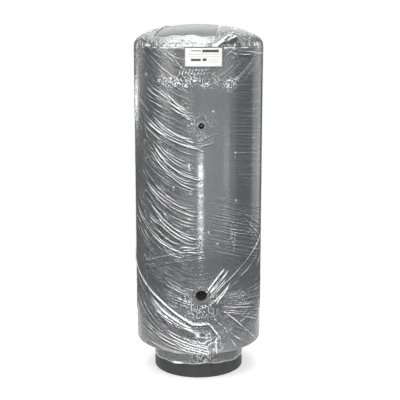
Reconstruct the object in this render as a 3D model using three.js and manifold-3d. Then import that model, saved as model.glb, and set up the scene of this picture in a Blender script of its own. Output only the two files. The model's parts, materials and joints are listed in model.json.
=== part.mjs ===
// An indirectly heated tank water heater, as delivered in its stretch wrap.
// A steel vessel of nearly 300 litres stands on a foot ring inside a foam jacket with a vinyl skin, under
// a domed lid. Millimetres, +Z up, origin on the floor on the tank's axis, front face towards -Y.
import * as THREE from "three";
import { mergeVertices } from "three/addons/utils/BufferGeometryUtils.js";
import Module from "manifold-3d";

const wasm = await Module();
wasm.setup();

// ---------- driving dimensions ----------
const GAP = 0.3; // left between pieces that touch
const FACETS = 32; // around the tank
const BORE_FACETS = 16; // around a pipe connection

const JACKET_RADIUS = 325;
const JACKET_BOTTOM = 160;
const JACKET_TOP = 1681.7;
const JACKET_CORNER = 12;
const SKIN = 1.2;

const VESSEL_RADIUS = 250;
const VESSEL_WALL = 3;
const SHELL_BOTTOM = 215;
const SHELL_TOP = 1595;
const HEAD_DEPTH = 90; // rise of a dished end

const FOOT_RADIUS = 232.5;
const FOOT_HEIGHT = 162;
const FOOT_WALL = 5;
const FOOT_FLANGE = 25;

const LID_BOTTOM = 1684;
const LID_RISE = 105;
const LID_WALL = 2.5;
const LID_FOAM_BOTTOM = 1732;

const FILM = 0.7;
const FILM_RADIUS = JACKET_RADIUS + 1; // inside of the wrap, clear of the label under it
const FILM_HEM = 75; // height of the wrap's lower edge on the foot ring
const FILM_TOP_OPENING = 215; // radius that the wrap leaves bare on top

const COIL_RADIUS = 190;
const COIL_TUBE = 16.85;
const COIL_BORE = 13.6;
const COIL_PITCH = 45;
const COIL_TURNS = 8;
const COIL_WINDOW_TURN = 1.5; // the turn after which the coil opens for a rod heater
const COIL_WINDOW = 105; // rise of the coil over that one turn

// Radii of a female pipe thread's bore and of the socket around it, by nominal size.
const THREAD = {
  half: { bore: 9.3, socket: 13.5 },
  threeQuarter: { bore: 12.1, socket: 17 },
  one: { bore: 15.15, socket: 20.5 },
  oneAndHalf: { bore: 22.9, socket: 28.5 },
};
const FRONT = -1;
const REAR = 1;
const REAR_FACE = 318; // distance of a rear socket's face from the axis
const COLD_Z = 240;
const COIL_RETURN_Z = 335;
const COIL_FLOW_Z = COIL_RETURN_Z + (COIL_TURNS - 1) * COIL_PITCH + COIL_WINDOW;

// Each connection: the way it faces, its height, its thread, how far out its socket reaches,
// and the radii of the hole in the insulation and of the collar around that hole.
const PORTS = {
  thermometer: { side: FRONT, z: 1310, ...THREAD.half, face: 305, cut: 15.2, collar: 28.5 },
  heater: { side: FRONT, z: 465, ...THREAD.oneAndHalf, face: 288, cut: 30, collar: 41 },
  cold_inlet: { side: REAR, z: COLD_Z, ...THREAD.one, face: REAR_FACE, cut: 25, collar: 38 },
  coil_return: { side: REAR, z: COIL_RETURN_Z, ...THREAD.one, face: REAR_FACE, cut: 25, collar: 38 },
  coil_flow: { side: REAR, z: COIL_FLOW_Z, ...THREAD.one, face: REAR_FACE, cut: 25, collar: 38 },
  sensor: { side: REAR, z: 880, ...THREAD.half, face: REAR_FACE, cut: 18, collar: 31 },
  circulation: { side: REAR, z: 1010, ...THREAD.threeQuarter, face: REAR_FACE, cut: 21.5, collar: 34.5 },
  hot_outlet: { side: REAR, z: 1480, ...THREAD.one, face: REAR_FACE, cut: 25, collar: 38 },
};
const COLLAR_THICKNESS = 2;
const FILM_CLEARANCE = 3; // from a collar to the edge cut in the wrap

const ANODE_BOSS = { bore: 19.8, radius: 27, bottom: 1686, top: 1700 };
const ANODE_ROD = { radius: 13, bottom: 1180, top: 1679.7 };
const ACCESS_RADIUS = 45; // hole over the anode in the top insulation

// ---------- materials ----------
const finish = (color, roughness, metalness = 0) =>
  new THREE.MeshStandardMaterial({ color, roughness, metalness });
const VINYL = finish(0x8e8f91, 0.5);
const FOAM = finish(0xd9cfae, 0.95);
const ENAMELLED = finish(0x3c4a5c, 0.45, 0.2);
const STEEL = finish(0x8b8d90, 0.4, 0.9);
const FOOT_PAINT = finish(0x3f4042, 0.6);
const BLACK_PLASTIC = finish(0x161616, 0.5);
const GREY_PLASTIC = finish(0xb4b5b7, 0.4);
const RUBBER = finish(0x1b1b1b, 0.8);
const MAGNESIUM = finish(0xa7a9aa, 0.6, 0.8);
const PAPER = finish(0xf4f4f2, 0.7);
const CLEAR_FILM = finish(0xe6e8ea, 0.12);

// ---------- shape helpers ----------
/** A closed three.js geometry as a manifold-3d solid. */
function toSolid(geometry) {
  const plain = geometry.clone();
  plain.deleteAttribute("normal");
  plain.deleteAttribute("uv");
  const merged = mergeVertices(plain, 1e-3);
  return new wasm.Manifold(
    new wasm.Mesh({
      numProp: 3,
      vertProperties: merged.attributes.position.array,
      triVerts: new Uint32Array(merged.index.array),
    }),
  );
}

/** A manifold-3d solid as a three.js geometry. */
function toGeometry(solid) {
  const { numProp, numVert, vertProperties, triVerts } = solid.getMesh();
  const positions = new Float32Array(numVert * 3);
  for (let i = 0; i < numVert; i++) {
    positions.set(vertProperties.subarray(i * numProp, i * numProp + 3), i * 3);
  }
  return new THREE.BufferGeometry()
    .setAttribute("position", new THREE.BufferAttribute(positions, 3))
    .setIndex(new THREE.BufferAttribute(triVerts, 1));
}

/** Turns a profile of [radius, height] pairs about the Z axis. A profile off the axis is closed. */
function revolve(profile, facets = FACETS) {
  const points = profile.map(([radius, height]) => new THREE.Vector2(radius, height));
  if (THREE.ShapeUtils.area(points) < 0) points.reverse();
  const onAxis = points.filter((point) => point.x === 0).length;
  if (onAxis === 2) {
    while (points[0].x !== 0 || points.at(-1).x !== 0) points.push(points.shift());
  } else {
    points.push(points[0].clone());
  }
  return new THREE.LatheGeometry(points, facets).rotateX(Math.PI / 2);
}

/** Points on an elliptical arc of [radius, height] pairs, from one angle in degrees to another. */
function arc(centreRadius, centreHeight, across, up, from, to, steps) {
  return Array.from({ length: steps + 1 }, (_, i) => {
    const angle = THREE.MathUtils.degToRad(from + ((to - from) * i) / steps);
    return [centreRadius + across * Math.cos(angle), centreHeight + up * Math.sin(angle)];
  });
}

/** A solid rod along the way a connection faces, between two distances from the tank's axis. */
function rodAlongPort(port, radius, near, far, facets = BORE_FACETS) {
  return new THREE.CylinderGeometry(radius, radius, far - near, facets)
    .translate(0, (port.side * (near + far)) / 2, port.z);
}

/** A ring along the way a connection faces. */
function ringAlongPort(port, inner, outer, near, far, facets = BORE_FACETS) {
  const ring = toSolid(rodAlongPort(port, outer, near, far, facets));
  return ring.subtract(toSolid(rodAlongPort(port, inner, near - 1, far + 1, facets)));
}

/** Cuts a hole along every connection, of the radius that holeRadius gives for it. */
function cutAtPorts(geometry, holeRadius) {
  let solid = toSolid(geometry);
  for (const port of Object.values(PORTS)) {
    solid = solid.subtract(toSolid(rodAlongPort(port, holeRadius(port), 200, 340)));
  }
  return solid;
}

/** A thin shell lying on the skin, from one height to another. */
const shellOnSkin = (from, to, bottom, top) =>
  revolve([[from, bottom], [to, bottom], [to, top], [from, top]]);

/** A round tube, hollow where a bore is given, that follows a curve. */
function tube(curve, steps, radius, bore = 0, sides = 8) {
  const section = new THREE.Shape().absarc(0, 0, radius, 0, 2 * Math.PI);
  if (bore) section.holes.push(new THREE.Path().absarc(0, 0, bore, 0, 2 * Math.PI, true));
  return new THREE.ExtrudeGeometry(section, { steps, extrudePath: curve, curveSegments: sides });
}

const group = new THREE.Group();

/** Adds one named sub-part. */
function add(name, geometry, material) {
  const mesh = new THREE.Mesh(geometry, material);
  mesh.name = name;
  group.add(mesh);
}

// ---------- vessel ----------
function vesselShell() {
  const inside = VESSEL_RADIUS - VESSEL_WALL;
  const wall = revolve([
    [inside, SHELL_BOTTOM + GAP],
    [VESSEL_RADIUS, SHELL_BOTTOM + GAP],
    [VESSEL_RADIUS, SHELL_TOP - GAP],
    [inside, SHELL_TOP - GAP],
  ]);
  return toGeometry(cutAtPorts(wall, (port) => port.bore));
}

/** A dished end that opens downwards, with its rim at height 0 and a hole of holeRadius on top. */
function dishedEnd(holeRadius) {
  const steps = 4;
  const inside = VESSEL_RADIUS - VESSEL_WALL;
  const insideDepth = HEAD_DEPTH - VESSEL_WALL;
  if (!holeRadius) {
    const outer = arc(0, 0, VESSEL_RADIUS, HEAD_DEPTH, 0, 90, steps);
    const inner = arc(0, 0, inside, insideDepth, 90, 0, steps);
    outer.at(-1)[0] = 0;
    inner[0][0] = 0;
    return [...outer, ...inner];
  }
  const edge = THREE.MathUtils.radToDeg(Math.acos(holeRadius / VESSEL_RADIUS));
  const insideEdge = THREE.MathUtils.radToDeg(Math.acos(holeRadius / inside));
  return [
    ...arc(0, 0, VESSEL_RADIUS, HEAD_DEPTH, 0, edge, steps),
    ...arc(0, 0, inside, insideDepth, insideEdge, 0, steps),
  ];
}

const placed = (profile, height, flip = 1) => profile.map(([radius, z]) => [radius, height + flip * z]);

/** The foot ring: a steel strip with an inward flange that stands on the floor. */
function footRing() {
  const inside = FOOT_RADIUS - FOOT_WALL;
  return revolve([
    [FOOT_RADIUS, 0],
    [FOOT_RADIUS, FOOT_HEIGHT],
    [inside, FOOT_HEIGHT],
    [inside, FOOT_WALL],
    [FOOT_RADIUS - FOOT_FLANGE, FOOT_WALL],
    [FOOT_RADIUS - FOOT_FLANGE, 0],
  ]);
}

// ---------- heating coil ----------
/** Height of the coil's centreline after a number of turns: it opens once, level with the heater port. */
function coilHeight(turn) {
  const windowShare = THREE.MathUtils.clamp(turn - COIL_WINDOW_TURN, 0, 1);
  return COIL_RETURN_Z + turn * COIL_PITCH + windowShare * (COIL_WINDOW - COIL_PITCH);
}

/** The coil's centreline: in through the rear wall, round the vessel, and out again above. */
function coilCurve() {
  const leadIn = 20; // degrees of the helix given up to each end's bend
  const bend = 50;
  const wallEnd = VESSEL_RADIUS - VESSEL_WALL - 1.5;
  const bendCentre = COIL_RADIUS + bend;
  const bendPoints = [0, 25, 50, 75].map((degrees) => {
    const angle = THREE.MathUtils.degToRad(degrees);
    return [bend * (1 - Math.cos(angle)), bendCentre - bend * Math.sin(angle)];
  });
  const endHeight = coilHeight(COIL_TURNS);
  const points = [new THREE.Vector3(0, wallEnd, COIL_RETURN_Z)];
  for (const [x, y] of bendPoints) points.push(new THREE.Vector3(x, y, COIL_RETURN_Z));
  const last = COIL_TURNS * 360 - leadIn;
  for (let degrees = leadIn; degrees <= last; degrees += 20) {
    const angle = THREE.MathUtils.degToRad(degrees);
    const height = coilHeight(degrees / 360);
    points.push(new THREE.Vector3(COIL_RADIUS * Math.sin(angle), COIL_RADIUS * Math.cos(angle), height));
  }
  for (const [x, y] of bendPoints.reverse()) points.push(new THREE.Vector3(-x, y, endHeight));
  points.push(new THREE.Vector3(0, wallEnd, endHeight));
  return new THREE.CatmullRomCurve3(points, false, "centripetal");
}

/** One of the flat bars that stand in the bottom end and carry the coil's turns on their inner side. */
function coilBracket(degrees) {
  const width = 25;
  const thickness = 4;
  const bottom = 153;
  const top = COIL_FLOW_Z + 30;
  const distance = COIL_RADIUS - COIL_TUBE - 2.5 * thickness;
  return new THREE.BoxGeometry(width, thickness, top - bottom)
    .translate(0, distance, (top + bottom) / 2)
    .rotateZ(THREE.MathUtils.degToRad(degrees));
}

// ---------- pipes and pockets inside the vessel ----------
/** A pipe that starts at a rear connection, turns through a bend and runs up or down. */
function bentPipe(port, radius, bore, turnAt, endHeight) {
  const bend = 25;
  const way = Math.sign(endHeight - port.z);
  const path = new THREE.CurvePath();
  const start = VESSEL_RADIUS + 4;
  const corner = new THREE.Vector3(0, turnAt, port.z);
  const bendStart = new THREE.Vector3(0, turnAt + bend, port.z);
  const bendEnd = new THREE.Vector3(0, turnAt, port.z + way * bend);
  path.add(new THREE.LineCurve3(new THREE.Vector3(0, start, port.z), bendStart));
  path.add(new THREE.QuadraticBezierCurve3(bendStart, corner, bendEnd));
  path.add(new THREE.LineCurve3(bendEnd, new THREE.Vector3(0, turnAt, endHeight)));
  return tube(path, 10, radius, bore, 6);
}

/** A closed-ended tube for a thermometer or sensor, open towards the outside. */
function pocket(port, outerEnd, innerEnd) {
  const radius = 8;
  const wall = 1.5;
  const collarLength = 18;
  const collarRadius = port.bore - 2 * GAP;
  const profile = [
    [0, innerEnd],
    [radius, innerEnd],
    [radius, outerEnd - collarLength],
    [collarRadius, outerEnd - collarLength],
    [collarRadius, outerEnd],
    [radius - wall, outerEnd],
    [radius - wall, innerEnd + wall],
    [0, innerEnd + wall],
  ];
  return revolve(profile, BORE_FACETS)
    .rotateX((-port.side * Math.PI) / 2)
    .translate(0, 0, port.z);
}

// ---------- plugs and caps ----------
const HEATER_PLUG = { near: 258, far: 283, radius: PORTS.heater.bore - 0.9, ringFloor: 19 };
HEATER_PLUG.ringNear = HEATER_PLUG.near + 3;
HEATER_PLUG.ringFar = HEATER_PLUG.ringNear + 3.5;

/** The blanking plug, with a groove for its seal and a hexagon recess for a key. */
function heaterPlug() {
  const { near, far, radius, ringFloor, ringNear, ringFar } = HEATER_PLUG;
  const keyRadius = 12.7; // 22 mm across flats
  const keyDepth = 14;
  const body = toSolid(rodAlongPort(PORTS.heater, radius, near, far));
  const groove = ringAlongPort(PORTS.heater, ringFloor, radius + 1, ringNear, ringFar);
  const key = toSolid(rodAlongPort(PORTS.heater, keyRadius, far - keyDepth, far + 1, 6));
  return toGeometry(body.subtract(groove).subtract(key));
}

function heaterPlugSeal() {
  const { radius, ringFloor, ringNear, ringFar } = HEATER_PLUG;
  const ring = ringAlongPort(PORTS.heater, ringFloor + 0.8, radius, ringNear + GAP, ringFar - GAP);
  return toGeometry(ring);
}

/** The push-in cap of the thermometer pocket: a stem, a round head and a bar to pull it by. */
function thermometerCap(pocketEnd) {
  const port = PORTS.thermometer;
  const stem = rodAlongPort(port, 6, pocketEnd - 14, pocketEnd + 1);
  const head = rodAlongPort(port, port.bore - 0.7, pocketEnd + GAP, pocketEnd + 3);
  const bar = new THREE.BoxGeometry(15, 4, 5)
    .rotateY(THREE.MathUtils.degToRad(-38))
    .translate(0, port.side * (pocketEnd + 4.5), port.z);
  return toGeometry(toSolid(stem).add(toSolid(head)).add(toSolid(bar)));
}

/** The anode's hexagon plug, with its threaded stem through the boss. */
function anodePlug(seat) {
  const hexagon = new THREE.CylinderGeometry(26, 26, 13, 6).rotateX(Math.PI / 2).translate(0, 0, seat + 6.5);
  const stemBottom = ANODE_ROD.top + GAP;
  const stem = new THREE.CylinderGeometry(19.2, 19.2, seat + 1 - stemBottom, BORE_FACETS)
    .rotateX(Math.PI / 2)
    .translate(0, 0, (seat + 1 + stemBottom) / 2);
  return toGeometry(toSolid(hexagon).add(toSolid(stem)));
}

// ---------- insulation, skin and lid ----------
/** The foam jacket: a thick tube that closes in under the vessel's lower edge. */
function foamJacket() {
  const outside = JACKET_RADIUS - SKIN - GAP;
  const corner = JACKET_CORNER - SKIN - GAP;
  const cornerRadius = JACKET_RADIUS - JACKET_CORNER;
  const cornerHeight = JACKET_BOTTOM + JACKET_CORNER;
  const inside = VESSEL_RADIUS + 1.5;
  const foot = FOOT_RADIUS + 1.5;
  return toGeometry(
    cutAtPorts(
      revolve([
        ...arc(cornerRadius, cornerHeight, corner, corner, 0, -90, 3),
        [foot, cornerHeight - corner],
        [foot, 168.5],
        [inside - 7, 182],
        [inside - 1.9, 197],
        [inside, SHELL_BOTTOM],
        [inside, JACKET_TOP],
        [outside, JACKET_TOP],
      ]),
      (port) => port.cut,
    ),
  );
}

const CLOSURE = { degrees: -32, width: 30, bottom: 190, top: 1675 };

/** A tall block that marks out the jacket's closure, wider than the strip by play on each side. */
function closureBlock(play) {
  const { degrees, width, bottom, top } = CLOSURE;
  return toSolid(
    new THREE.BoxGeometry(width + 2 * play, 60, top - bottom + 2 * play)
      .translate(0, JACKET_RADIUS, (top + bottom) / 2)
      .rotateZ(THREE.MathUtils.degToRad(degrees)),
  );
}

/** The vinyl skin over the foam, turned in under the bottom edge, with a gap for its closure. */
function jacketSkin() {
  const cornerRadius = JACKET_RADIUS - JACKET_CORNER;
  const cornerHeight = JACKET_BOTTOM + JACKET_CORNER;
  const hem = FOOT_RADIUS + 8;
  const sheet = revolve([
    [JACKET_RADIUS, JACKET_TOP],
    ...arc(cornerRadius, cornerHeight, JACKET_CORNER, JACKET_CORNER, 0, -90, 3),
    [hem, JACKET_BOTTOM],
    [hem, JACKET_BOTTOM + SKIN],
    ...arc(cornerRadius, cornerHeight, JACKET_CORNER - SKIN, JACKET_CORNER - SKIN, -90, 0, 3),
    [JACKET_RADIUS - SKIN, JACKET_TOP],
  ]);
  return toGeometry(cutAtPorts(sheet, (port) => port.cut).subtract(closureBlock(GAP)));
}

function closureStrip() {
  const { bottom, top } = CLOSURE;
  const strip = shellOnSkin(JACKET_RADIUS - SKIN, JACKET_RADIUS + 0.7, bottom - 5, top + 5);
  return toGeometry(toSolid(strip).intersect(closureBlock(0)));
}

/** The foam pad on the vessel's top, shaped to the dished end, with a hole over the anode. */
function topInsulation() {
  const clear = 1.5;
  const rim = 305;
  const top = LID_FOAM_BOTTOM - 5;
  const across = VESSEL_RADIUS + clear;
  const up = HEAD_DEPTH + clear;
  const innermost = THREE.MathUtils.radToDeg(Math.acos(ACCESS_RADIUS / across));
  return revolve([
    [ACCESS_RADIUS, top],
    [280, top],
    [rim, 1702],
    [rim, JACKET_TOP + GAP],
    [VESSEL_RADIUS + 0.9, JACKET_TOP + GAP],
    ...arc(0, SHELL_TOP + 1, across, up, 4, innermost, 6),
  ]);
}

/** The lid: a half-ellipse dome whose rim sits on the jacket. */
function lidShell() {
  const steps = 8;
  const outer = arc(0, LID_BOTTOM, JACKET_RADIUS, LID_RISE, 0, 90, steps);
  const inner = arc(0, LID_BOTTOM, JACKET_RADIUS - LID_WALL, LID_RISE - LID_WALL, 90, 0, steps);
  outer.at(-1)[0] = 0;
  inner[0][0] = 0;
  return revolve([...outer, ...inner]);
}

/** The foam glued into the lid. */
function lidFoam() {
  const across = JACKET_RADIUS - LID_WALL - GAP;
  const up = LID_RISE - LID_WALL - GAP;
  const lowest = THREE.MathUtils.radToDeg(Math.asin((LID_FOAM_BOTTOM - LID_BOTTOM) / up));
  const dome = arc(0, LID_BOTTOM, across - 2, up, lowest, 90, 6);
  dome.at(-1)[0] = 0;
  return revolve([[0, LID_FOAM_BOTTOM], ...dome]);
}

// ---------- collars, label and wrap ----------
/** The thin plastic collar around a connection's hole, curved to the jacket. */
function collar(port) {
  const near = JACKET_RADIUS + GAP;
  const shell = shellOnSkin(near, near + COLLAR_THICKNESS, port.z - 60, port.z + 60);
  const ring = ringAlongPort(port, port.cut, port.collar, 280, 340, 20);
  return toGeometry(toSolid(shell).intersect(ring));
}

/** The paper rating label, curved round the front of the jacket. */
function ratingLabel() {
  const width = 178;
  const height = 88;
  const top = 1679;
  const turn = 2.05; // degrees round from the middle of the front
  const sheet = shellOnSkin(JACKET_RADIUS + GAP, JACKET_RADIUS + GAP + 0.4, top - height - 5, top + 5);
  const outline = new THREE.BoxGeometry(width, 60, height)
    .translate(0, -JACKET_RADIUS, top - height / 2)
    .rotateZ(THREE.MathUtils.degToRad(turn));
  return toGeometry(toSolid(sheet).intersect(toSolid(outline)));
}

/** The wrap's side of the jacket: down the wall, under the bottom edge and onto the foot ring. */
function wrapProfile(offset) {
  const corner = JACKET_CORNER + 1 + offset;
  const cornerRadius = JACKET_RADIUS - JACKET_CORNER;
  const foot = FOOT_RADIUS + 0.9 + offset;
  return [
    [FILM_RADIUS + offset, JACKET_TOP],
    ...arc(cornerRadius, JACKET_BOTTOM + JACKET_CORNER, corner, corner, 0, -90, 3),
    [foot + 10, JACKET_BOTTOM - 1 - offset],
    [foot, JACKET_BOTTOM - 11 - offset],
    [foot, FILM_HEM],
  ];
}

function bodyWrap() {
  const sheet = revolve([...wrapProfile(FILM), ...wrapProfile(0).reverse()]);
  return toGeometry(cutAtPorts(sheet, (port) => port.collar + FILM_CLEARANCE));
}

/** The wrap where it folds over the lid's shoulder. The middle of the dome stays bare. */
function lidWrap() {
  const side = (offset) => {
    const across = FILM_RADIUS + offset;
    const edge = THREE.MathUtils.radToDeg(Math.acos(FILM_TOP_OPENING / across));
    return arc(0, LID_BOTTOM, across, LID_RISE + 1 + offset, 0, edge, 5);
  };
  return revolve([...side(FILM), ...side(0).reverse()]);
}

// ---------- assembly ----------
add("foot_ring", footRing(), FOOT_PAINT);
add("vessel_bottom_end", revolve(placed(dishedEnd(0), SHELL_BOTTOM, -1)), ENAMELLED);
add("vessel_shell", vesselShell(), ENAMELLED);
add("vessel_top_end", revolve(placed(dishedEnd(20), SHELL_TOP)), ENAMELLED);

add("heating_coil", tube(coilCurve(), 110, COIL_TUBE, COIL_BORE, 3), ENAMELLED);
[45, 135, 225, 315].forEach((degrees, i) => {
  add(`coil_bracket_${i + 1}`, coilBracket(degrees), STEEL);
});

for (const [name, port] of Object.entries(PORTS)) {
  const socket = ringAlongPort(port, port.bore, port.socket, VESSEL_RADIUS + 0.5, port.face);
  add(`${name}_socket`, toGeometry(socket), STEEL);
  add(`${name}_collar`, collar(port), GREY_PLASTIC);
}
add("cold_inlet_pipe", bentPipe(PORTS.cold_inlet, 13.4, 11, 200, 195), STEEL);
add("hot_outlet_pipe", bentPipe(PORTS.hot_outlet, 13.4, 11, 190, 1622), STEEL);

const THERMOMETER_POCKET_END = 298;
add("thermometer_pocket", pocket(PORTS.thermometer, THERMOMETER_POCKET_END, 90), STEEL);
add("sensor_pocket", pocket(PORTS.sensor, REAR_FACE - 4, 90), STEEL);
add("thermometer_cap", thermometerCap(THERMOMETER_POCKET_END), BLACK_PLASTIC);
add("heater_plug", heaterPlug(), BLACK_PLASTIC);
add("heater_plug_seal", heaterPlugSeal(), RUBBER);

const { bore, radius: bossRadius, bottom: bossBottom, top: bossTop } = ANODE_BOSS;
const bossProfile = [[bore, bossBottom], [bossRadius, bossBottom], [bossRadius, bossTop], [bore, bossTop]];
add("anode_boss", revolve(bossProfile, BORE_FACETS), STEEL);
const sealProfile = bossProfile.map(([radius, z]) => [radius, z === bossBottom ? bossTop + GAP : bossTop + 2]);
add("anode_seal", revolve(sealProfile, BORE_FACETS), RUBBER);
add("anode_plug", anodePlug(bossTop + 2 + GAP), STEEL);
const rodProfile = [[0, ANODE_ROD.bottom], [ANODE_ROD.radius, ANODE_ROD.bottom],
  [ANODE_ROD.radius, ANODE_ROD.top], [0, ANODE_ROD.top]];
add("anode_rod", revolve(rodProfile, BORE_FACETS), MAGNESIUM);

add("foam_jacket", foamJacket(), FOAM);
add("jacket_skin", jacketSkin(), VINYL);
add("jacket_closure_strip", closureStrip(), GREY_PLASTIC);
add("top_insulation", topInsulation(), FOAM);
add("lid_shell", lidShell(), VINYL);
add("lid_insulation", lidFoam(), FOAM);
add("rating_label", ratingLabel(), PAPER);
add("body_wrap", bodyWrap(), CLEAR_FILM);
add("lid_wrap", lidWrap(), CLEAR_FILM);

export default group;
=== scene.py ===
"""A tank water heater in stretch wrap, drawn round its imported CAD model. Metres, +Z up, front at -Y."""
import json
import math

import bpy
import numpy as np
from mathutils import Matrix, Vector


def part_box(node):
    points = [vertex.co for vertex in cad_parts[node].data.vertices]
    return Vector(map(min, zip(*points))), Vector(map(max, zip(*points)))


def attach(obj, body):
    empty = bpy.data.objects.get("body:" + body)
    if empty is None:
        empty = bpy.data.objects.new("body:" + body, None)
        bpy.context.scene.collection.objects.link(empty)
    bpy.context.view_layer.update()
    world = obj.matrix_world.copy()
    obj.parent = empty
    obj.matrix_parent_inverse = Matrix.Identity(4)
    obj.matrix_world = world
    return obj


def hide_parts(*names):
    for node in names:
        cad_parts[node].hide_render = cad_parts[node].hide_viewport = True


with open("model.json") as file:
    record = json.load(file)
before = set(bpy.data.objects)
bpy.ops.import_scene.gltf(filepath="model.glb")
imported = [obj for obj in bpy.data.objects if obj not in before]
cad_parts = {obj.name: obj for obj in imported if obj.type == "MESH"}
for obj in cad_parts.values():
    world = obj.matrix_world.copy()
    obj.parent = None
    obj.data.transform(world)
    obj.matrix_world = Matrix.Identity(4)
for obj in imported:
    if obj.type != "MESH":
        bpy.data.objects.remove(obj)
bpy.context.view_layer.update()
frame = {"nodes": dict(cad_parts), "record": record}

RECORD = frame["record"]

# ---------- sizes from the frame ----------
SKIN_LOW, SKIN_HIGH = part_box("jacket_skin")
RADIUS = SKIN_HIGH.x
SKIN_BOTTOM = SKIN_LOW.z
SKIN_TOP = SKIN_HIGH.z
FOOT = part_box("foot_ring")[1]
LID_LOW, LID_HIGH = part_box("lid_shell")
WRAP_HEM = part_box("body_wrap")[0].z

# Radii of the holes in the jacket and of the sockets' bores, for the named connections and for the rest.
FOAM_HOLES = {"thermometer": 0.0152, "heater": 0.030, "sensor": 0.018, "circulation": 0.0215}
PIPE_HOLE = 0.025
BORES = {"thermometer": 0.0093, "heater": 0.0229, "sensor": 0.0093, "circulation": 0.0121}
PIPE_BORE = 0.01515


class Port:
    """One pipe connection, read from its socket and collar in the frame."""

    def __init__(self, name):
        low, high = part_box(f"{name}_collar")
        socket_low, socket_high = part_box(f"{name}_socket")
        self.name = name
        self.side = 1 if high.y > 0 else -1
        self.z = (low.z + high.z) / 2
        self.collar = (high.x - low.x) / 2
        self.hole = FOAM_HOLES.get(name, PIPE_HOLE)
        self.bore = BORES.get(name, PIPE_BORE)
        self.socket = (socket_high.x - socket_low.x) / 2
        self.near, self.face = sorted((abs(socket_low.y), abs(socket_high.y)))


PORTS = [Port(name[: -len("_collar")]) for name in frame["nodes"] if name.endswith("_collar")]
FRONT_PORTS = {port.name: port for port in PORTS if port.side < 0}


# ---------- mesh helpers ----------
def place(name, data):
    """An object that holds a mesh, a light or a camera, put in the scene."""
    thing = bpy.data.objects.new(name, data)
    bpy.context.scene.collection.objects.link(thing)
    return thing


def make_object(name, vertices, faces, material, body="tank"):
    """A smooth mesh piece that rides on a CAD body."""
    mesh = bpy.data.meshes.new(name)
    mesh.from_pydata(np.asarray(vertices).tolist(), [], np.asarray(faces).tolist())
    mesh.validate()
    mesh.polygons.foreach_set("use_smooth", [True] * len(mesh.polygons))
    mesh.materials.append(material)
    piece = place(name, mesh)
    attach(piece, body)
    return piece


def thicken(piece, thickness):
    """Gives a sheet its thickness, inwards from its outer face."""
    solid = piece.modifiers.new("thickness", "SOLIDIFY")
    solid.thickness = thickness
    solid.offset = -1


def quads(rows, columns, wrap):
    """The faces of a rows x columns grid, closed round in columns where wrap is set."""
    i = np.arange(rows - 1)[:, None] * columns
    j = np.arange(columns if wrap else columns - 1)[None, :]
    right = (j + 1) % columns
    return np.stack([i + j, i + right, i + columns + right, i + columns + j], -1).reshape(-1, 4)


def around(radius, height, angle):
    """The point at an angle from the front, in radians, positive towards +X."""
    return np.stack(np.broadcast_arrays(radius * np.sin(angle), -radius * np.cos(angle), height), -1)


def revolve(name, profile, material, body="tank", columns=160):
    """A closed solid of revolution about the tank's axis, from a closed loop of (radius, height)."""
    loop = np.array(list(profile) + [profile[0]])
    angle = np.linspace(-math.pi, math.pi, columns, endpoint=False)
    points = around(loop[:, :1], loop[:, 1:], angle[None, :])
    return make_object(name, points.reshape(-1, 3), quads(len(loop), columns, True), material, body)


def fillet(corner, size, start, end, steps=4):
    """Points of a quarter-round about a corner, from one angle in degrees to another."""
    angles = np.radians(np.linspace(start, end, steps + 1))
    return [(corner[0] + size * math.cos(a), corner[1] + size * math.sin(a)) for a in angles]


def circle(columns):
    """Evenly spaced angles once round, in radians."""
    return np.linspace(0, 2 * math.pi, columns, endpoint=False)


def about_port(port, radii, angle, along):
    """Rings of points about a connection's axis, each at its distance along from the tank's axis."""
    x = radii * np.cos(angle)
    z = port.z + radii * np.sin(angle)
    return np.stack(np.broadcast_arrays(x, port.side * along, z), -1).reshape(-1, 3)


def punch(points, faces, radius_of):
    """Cuts each connection's hole in a sheet of quads and draws the edge onto the circle."""
    points = points.copy()
    for port in PORTS:
        radius = radius_of(port)
        facing = points[:, 1] * port.side > 0
        away = np.hypot(points[:, 0], points[:, 2] - port.z)
        inside = facing & (away < radius)
        cut = inside[faces].sum(1) >= 3
        kept = faces[~cut]
        edge = np.intersect1d(np.unique(faces[cut]), np.unique(kept))
        depth = np.hypot(points[edge, 0], points[edge, 1])
        scale = radius / away[edge]
        points[edge, 0] *= scale
        points[edge, 2] = port.z + (points[edge, 2] - port.z) * scale
        points[edge, 1] = port.side * np.sqrt(depth**2 - points[edge, 0] ** 2)
        faces = kept
    used = np.unique(faces)
    renumber = np.zeros(len(points), int)
    renumber[used] = np.arange(len(used))
    return points[used], renumber[faces], used


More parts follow.
